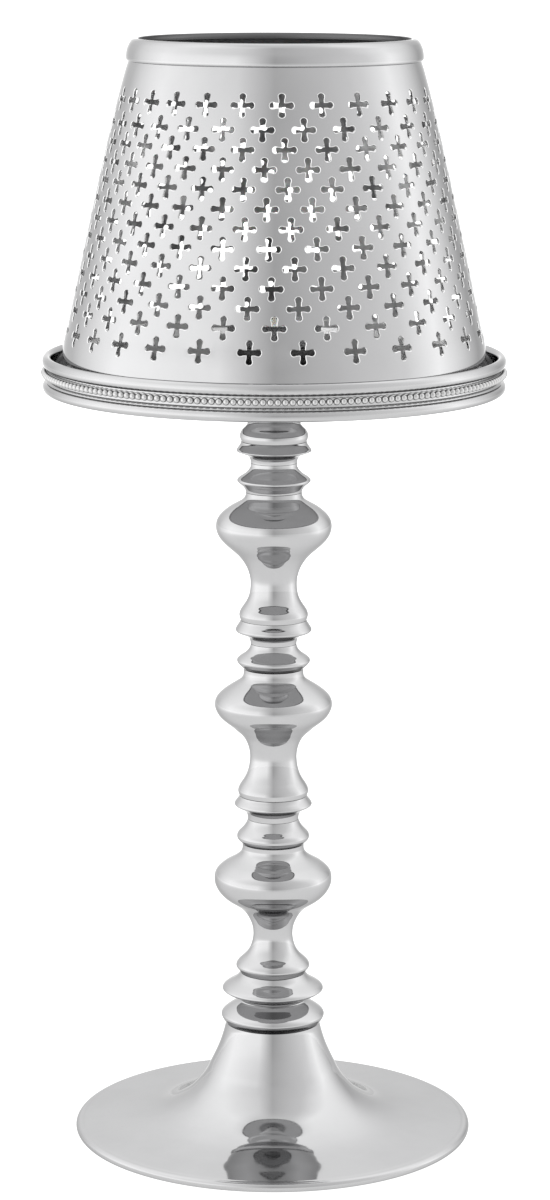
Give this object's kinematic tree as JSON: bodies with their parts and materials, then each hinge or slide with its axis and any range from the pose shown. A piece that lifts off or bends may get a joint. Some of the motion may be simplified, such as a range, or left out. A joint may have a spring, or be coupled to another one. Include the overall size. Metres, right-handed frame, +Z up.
{
  "type": "candle lamp with pierced shade",
  "caption": "Tall turned-stem tealight lamp with a trumpet foot, a beaded drip tray and a lift-off conical shade pierced with crosses.",
  "frame": {"origin": "centre of the felt pad under the foot, on the surface the lamp stands on", "axes": "+Z up along the stem; -Y towards the viewer of the picture; +X to the viewer's right"},
  "size_m": [0.1886, 0.1886, 0.454],
  "materials": {
    "polished_plate": "polished",
    "steel": "satin",
    "iron": "matte",
    "felt": "matte",
    "tin": "satin",
    "wax": "satin",
    "cotton": "matte"
  },
  "bodies": {
    "stand": {"base_felt": "felt", "base_weight": "iron", "trumpet_foot": "polished_plate", "washers": "steel", "spring_washer": "steel", "nuts": "steel", "tie_rod": "steel", "foot_ring_lower": "polished_plate", "foot_ring_upper": "polished_plate", "baluster_lower": "polished_plate", "neck_ring_1": "polished_plate", "neck_ring_2": "polished_plate", "baluster_middle": "polished_plate", "neck_ring_3": "polished_plate", "neck_ring_4": "polished_plate", "baluster_upper": "polished_plate", "neck_ring_5": "polished_plate", "neck_ring_6": "polished_plate", "tray_seat": "polished_plate", "drip_tray": "polished_plate", "bead_ring": "polished_plate", "candle_cup": "polished_plate"},
    "tealight": {"tealight_tin": "tin", "tealight_wax": "wax", "wick_tab": "steel", "wick": "cotton"},
    "shade": {"shade_cone": "polished_plate", "shade_collar": "polished_plate", "shade_foot_ring": "polished_plate"}
  },
  "joints": [
    {"name": "shade_lift", "type": "slide", "parent": "stand", "child": "shade", "axis": [0, 0, 1], "range_m": [0, 0.16]},
    {"name": "tealight_lift", "type": "slide", "parent": "stand", "child": "tealight", "axis": [0, 0, 1], "range_m": [0, 0.16]}
  ]
}
